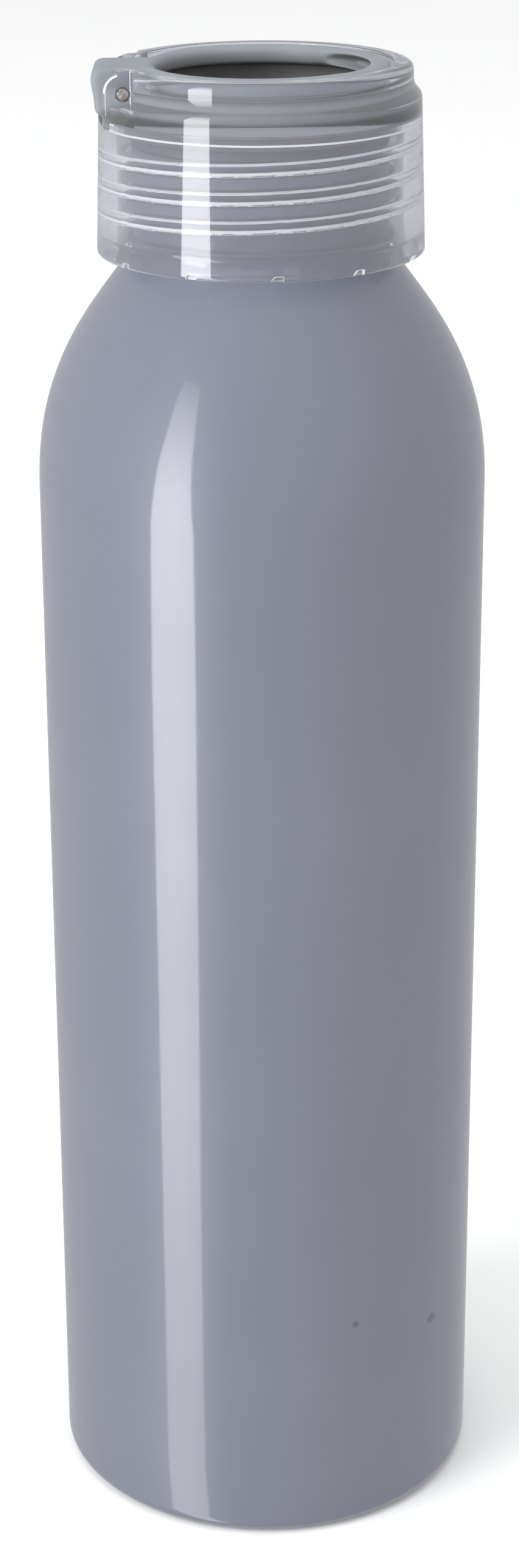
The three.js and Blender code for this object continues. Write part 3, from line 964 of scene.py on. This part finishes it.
def knuckle_outline():
    """Side outline of the tab that wraps the pin, as (x, z, fillet)."""
    return filleted(
        [
            (KNUCKLE_INNER_X, RING_TOP_Z - 0.3, 0.3),
            (KNUCKLE_INNER_X - 2, RING_TOP_Z, 2.0),
            (-23.6, RING_TOP_Z + 0.05, 1.9),
            (-23.95, 222.6, 3.0),
            (-23.4, 219.9, 2.0),
            (-23.4, KNUCKLE_LOW_Z, 0.7),
            (-21.6, KNUCKLE_LOW_Z, 0.7),
            (-18.0, 219.25, 0.9),
            (-17.0, 219.6, 0.5),
            (-16.4, RING_BOTTOM_Z, 0.8),
            (KNUCKLE_INNER_X, RING_BOTTOM_Z, 0.3),
        ],
        closed=True,
        step_deg=10,
    )


def ring_blank():
    """The ring before its edges are softened: a flat ring with its tab."""
    section = filleted(
        [
            (RING_HOLE_R, RING_BOTTOM_Z, 0.3),
            (RING_OUTER_R, RING_BOTTOM_Z, 0.3),
            (RING_OUTER_R, RING_TOP_Z, 0.3),
            (RING_HOLE_R, RING_TOP_Z, RING_INNER_EDGE_R),
        ],
        closed=True,
        step_deg=9,
    )
    ring = turned("ring_shell", section, FINE_TURN_STEPS)
    disc = [(0, TRIM_LOW_Z), (TRIM_R, TRIM_LOW_Z), (TRIM_R, RING_CUT_HIGH_Z), (0, RING_CUT_HIGH_Z)]
    trim = turned("trim", disc, FINE_TURN_STEPS)
    trim.data.transform(Matrix.Translation((TRIM_SHIFT_X * MM, 0, 0)))
    keep_common(ring, trim)
    tab = extruded("tab", knuckle_outline(), -KNUCKLE_HALF, KNUCKLE_HALF)
    edge = RING_INNER_EDGE_R
    hole = filleted(
        [
            (RING_HOLE_R, HOLE_LOW_Z, 0),
            (RING_HOLE_R, RING_TOP_Z - edge, 0),
            (RING_HOLE_R + edge * 0.3, RING_TOP_Z - edge * 0.3, edge),
            (RING_HOLE_R + edge, RING_TOP_Z, 0),
            (RING_HOLE_R + edge, RING_CUT_HIGH_Z, 0),
        ]
    )
    cut(tab, turned("hole", [(0, HOLE_LOW_Z)] + hole + [(0, RING_CUT_HIGH_Z)], FINE_TURN_STEPS))
    join(ring, tab)
    return ring


def scoop():
    """The cutter for the groove opposite the hinge that a fingertip lifts the ring by."""
    steps = 48
    around = 28
    points = []
    for i in range(steps + 1):
        along = -1 + 2 * i / steps
        size = max(0.02, (1 - abs(along) ** 3.5) ** 0.5)
        a = math.radians(SCOOP_MID_DEG + SCOOP_HALF_DEG * along)
        for k in range(around):
            turn = 2 * math.pi * k / around
            r = SCOOP_MID_R + SCOOP_DEPTH * size * math.cos(turn)
            z = SCOOP_MID_Z + SCOOP_HALF_HEIGHT * size * math.sin(turn)
            points.append((r * math.cos(a), r * math.sin(a), z))
    return outward(mesh_piece("scoop", points, loft_faces(steps, around)))


def scoop_weight(x, y):
    """1 in the scoop, falling to 0 towards the ring's outside and past the scoop's ends."""
    past_end = abs(math.degrees(math.atan2(y, x)) - SCOOP_MID_DEG) - SCOOP_HALF_DEG
    return min(SCOOP_SOFT_R - math.hypot(x, y), (SCOOP_SOFT_DEG - past_end) / SCOOP_SOFT_DEG)


def tab_weight(x, y):
    """1 over the tab's outer end, falling to 0 towards the ring, whatever y is."""
    return (TAB_SOFT_X - x) / TAB_SOFT_LENGTH


def soften_more(ring, name, weight_at, iterations):
    """Rounds one stretch of the ring more than the rest, as strongly as weight_at says for each (x, y)."""
    group = ring.vertex_groups.new(name=name)
    for vertex in ring.data.vertices:
        weight = min(1.0, weight_at(vertex.co.x / MM, vertex.co.y / MM))
        if weight > 0:
            group.add([vertex.index], weight, "REPLACE")
    soften = ring.modifiers.new(name, "SMOOTH")
    soften.factor = 0.5
    soften.iterations = iterations
    soften.vertex_group = name
    bake(ring)


def carry_ring(material):
    """The ring, remeshed evenly so that smoothing rounds its edges. The pin's bore is cut after that."""
    ring = ring_blank()
    cut(ring, scoop())
    remesh = ring.modifiers.new("even", "REMESH")
    remesh.mode = "VOXEL"
    remesh.voxel_size = RING_VOXEL * MM
    soften = ring.modifiers.new("soften", "SMOOTH")
    soften.factor = 0.5
    soften.iterations = RING_SOFTENING
    bake(ring)
    soften_more(ring, "scoop", scoop_weight, SCOOP_SOFTENING)
    soften_more(ring, "tab", tab_weight, TAB_SOFTENING)
    cut(ring, rod_y("bore", PIN_R + PIN_BORE_GAP, KNUCKLE_HALF + 1))
    dress(give_materials(ring, material), "ring", "carry_ring")
    return smooth_shaded(ring, sharp_deg=50)


def seal_disc(material):
    """The silicone disc, with slightly rounded edges."""
    low_z = SEAL_LOW[2] / MM
    high_z = SEAL_HIGH[2] / MM
    outer = SEAL_HIGH[0] / MM
    section = filleted([(0, low_z, 0), (outer, low_z, 0.3), (outer, high_z, 0.3), (0, high_z, 0)])
    disc = give_materials(turned("seal_face", section), material)
    return smooth_shaded(dress(disc, "cap_seal", "seal_disc"))


def hinge_pin(material):
    """The steel pin, with the slightly ragged ends that cropping leaves."""
    low_end = [(PIN_R * share, -PIN_HALF) for share in (0, 0.33, 0.66, 0.86)]
    low_end.append((PIN_R, -PIN_HALF + PIN_CHAMFER))
    high_end = [(r, -z) for r, z in reversed(low_end)]
    pin = turned("pin", low_end + high_end, steps=40)
    for vertex in pin.data.vertices:
        if abs(vertex.co.z) / MM > PIN_HALF - PIN_RAGGED_LENGTH:
            ragged = noise.noise(vertex.co * 1500)
            vertex.co.z -= math.copysign(PIN_RAGGEDNESS * MM * abs(ragged), vertex.co.z)
    turn = Matrix.Translation((PIN_X * MM, 0, PIN_Z * MM)) @ Matrix.Rotation(math.pi / 2, 4, "X")
    pin.data.transform(turn)
    dress(give_materials(pin, material), "cap", "hinge_pin")
    return smooth_shaded(pin, sharp_deg=40)


# ===========================================================================
# Stage, light and camera
# ===========================================================================
def floor_material():
    material, tree = new_material("pale_floor")
    coords = object_coords(tree)
    cloud = ranged(tree, noise_value(tree, coords, 3.0, 2.0), 0.0, 1.0)
    shader = add(
        tree,
        "ShaderNodeBsdfPrincipled",
        Base_Color=blended(tree, cloud, (0.90, 0.90, 0.90, 1), (0.92, 0.92, 0.92, 1)),
        Roughness=0.8,
    )
    finish_surface(tree, shader)
    return material


FLOOR_HALF = 6000
LIGHT_TARGET_Z_M = 0.12


def add_floor():
    half = FLOOR_HALF
    corners = [(-half, -half, 0), (half, -half, 0), (half, half, 0), (-half, half, 0)]
    plane = mesh_piece("floor", corners, [(0, 1, 2, 3)])
    plane.data.materials.append(floor_material())
    plane.visible_glossy = False


def add_area_light(name, azimuth, elevation, distance, width, height, watts):
    """A soft light that shows in no reflection. Azimuth 0 is in front (-Y) and positive towards +X."""
    light = bpy.data.lights.new(name, "AREA")
    light.shape = "RECTANGLE"
    light.size = width
    light.size_y = height
    light.energy = watts
    lamp = bpy.data.objects.new(name, light)
    a = math.radians(azimuth)
    e = math.radians(elevation)
    target = Vector((0, 0, LIGHT_TARGET_Z_M))
    direction = Vector((math.sin(a) * math.cos(e), -math.cos(a) * math.cos(e), math.sin(e)))
    lamp.location = target + distance * direction
    lamp.rotation_euler = (lamp.location - target).to_track_quat("Z", "Y").to_euler()
    lamp.visible_glossy = False
    bpy.context.scene.collection.objects.link(lamp)
    return lamp


# The soft strip light on the left, as height in metres with its left and right azimuths there.
STRIP_ROWS = [
    (-4.0, -56.0, -34.0),
    (-1.3, -57.0, -34.0),
    (-0.9, -58.2, -36.0),
    (-0.4, -59.3, -35.0),
    (0.1, -55.5, -36.0),
    (0.7, -52.5, -36.5),
    (1.4, -52.0, -40.0),
]
STRIP_DISTANCE_M = 1.6
STRIP_STRENGTH = 7.6


def strip_at(height):
    """Left and right azimuth of the strip at a height."""
    for low, high in zip(STRIP_ROWS, STRIP_ROWS[1:]):
        if low[0] <= height <= high[0]:
            t = (height - low[0]) / (high[0] - low[0])
            return [low[k] + t * (high[k] - low[k]) for k in (1, 2)]
    return STRIP_ROWS[-1][1:]


def strip_material():
    """A glow that is dimmer towards the strip's two ends."""
    material, tree = new_material("strip_reflector")
    height = height_of(tree, object_coords(tree))
    rising = ranged(tree, height, 0.40 * STRIP_STRENGTH, STRIP_STRENGTH, -1.0, -0.25)
    falling = ranged(tree, height, 1.0, 0.2, 0.1, 1.4)
    glow = mathed(tree, "MULTIPLY", rising, falling)
    finish_surface(tree, add(tree, "ShaderNodeEmission", Color=(0.97, 0.975, 1.0, 1), Strength=glow))
    material.cycles.emission_sampling = "NONE"
    return material


def add_strip_reflector():
    """A glowing upright panel that only shows as a reflection in glossy surfaces."""
    columns = 8
    rows = 36
    points = []
    for k in range(rows + 1):
        z = STRIP_ROWS[0][0] + (STRIP_ROWS[-1][0] - STRIP_ROWS[0][0]) * k / rows
        left, right = strip_at(z)
        for i in range(columns + 1):
            a = math.radians(left + (right - left) * i / columns)
            x = STRIP_DISTANCE_M * math.sin(a)
            y = -STRIP_DISTANCE_M * math.cos(a)
            points.append((x / MM, y / MM, z / MM))
    across = columns + 1
    faces = [
        (k * across + i, k * across + i + 1, (k + 1) * across + i + 1, (k + 1) * across + i)
        for k in range(rows)
        for i in range(columns)
    ]
    panel = mesh_piece("strip_reflector", points, faces)
    panel.data.materials.append(strip_material())
    panel.visible_camera = False
    panel.visible_diffuse = False
    panel.visible_transmission = False
    panel.visible_shadow = False


def add_world():
    """A white studio all round, which shows dimmer in glossy reflections."""
    world = bpy.data.worlds.new("studio")
    bpy.context.scene.world = world
    world.use_nodes = True
    tree = world.node_tree
    tree.nodes.clear()
    path = add(tree, "ShaderNodeLightPath")
    glow = add(tree, "ShaderNodeBackground", Color=(1, 1, 1, 1), Strength=1.0)
    seen_in_gloss = add(tree, "ShaderNodeBackground", Color=(0.95, 0.96, 1, 1), Strength=0.55)
    is_glossy = path.outputs["Is Glossy Ray"]
    mixed = add(tree, "ShaderNodeMixShader", i0=is_glossy, i1=glow.outputs[0], i2=seen_in_gloss.outputs[0])
    add(tree, "ShaderNodeOutputWorld", Surface=mixed.outputs[0])


LIGHT_BOUNCES = 24


def allow_deep_paths():
    """Light bounces many times inside the clear cap before it leaves."""
    cycles = bpy.context.scene.cycles
    cycles.max_bounces = LIGHT_BOUNCES
    cycles.glossy_bounces = LIGHT_BOUNCES
    cycles.transmission_bounces = LIGHT_BOUNCES
    cycles.transparent_max_bounces = LIGHT_BOUNCES


CAMERA_PLACE_M = (-0.004168, -0.44161, 0.28729)
CAMERA_DOWN_DEG = 21.72
CAMERA_ROLL_RAD = -0.0079
LENS_MM = 70.489
SHIFT = (0.01466, 0.01305)


def add_camera():
    data = bpy.data.cameras.new("camera")
    data.sensor_width = 36
    data.lens = LENS_MM
    data.shift_x = SHIFT[0]
    data.shift_y = SHIFT[1]
    data.clip_start = 0.01
    data.clip_end = 50
    camera = bpy.data.objects.new("camera", data)
    bpy.context.scene.collection.objects.link(camera)
    tilt = Matrix.Rotation(math.radians(90 - CAMERA_DOWN_DEG), 4, "X")
    roll = Matrix.Rotation(CAMERA_ROLL_RAD, 4, "Z")
    camera.matrix_world = Matrix.Translation(CAMERA_PLACE_M) @ tilt @ roll
    bpy.context.scene.camera = camera


bottle(paint_material(), lacquer_material())
screw_cap(clear_material(), recess_material(), painted_reflection_material())
seal_disc(seal_material())
carry_ring(ring_material())
hinge_pin(steel_material())

add_floor()
add_world()
add_area_light("key", azimuth=-55, elevation=30, distance=1.3, width=0.7, height=1.1, watts=13)
add_area_light("fill", azimuth=60, elevation=25, distance=1.6, width=0.8, height=1.2, watts=1)
add_area_light("top", azimuth=0, elevation=80, distance=1.4, width=1.0, height=1.0, watts=4)
add_strip_reflector()
add_camera()
bpy.context.scene.view_settings.view_transform = "Standard"
allow_deep_paths()
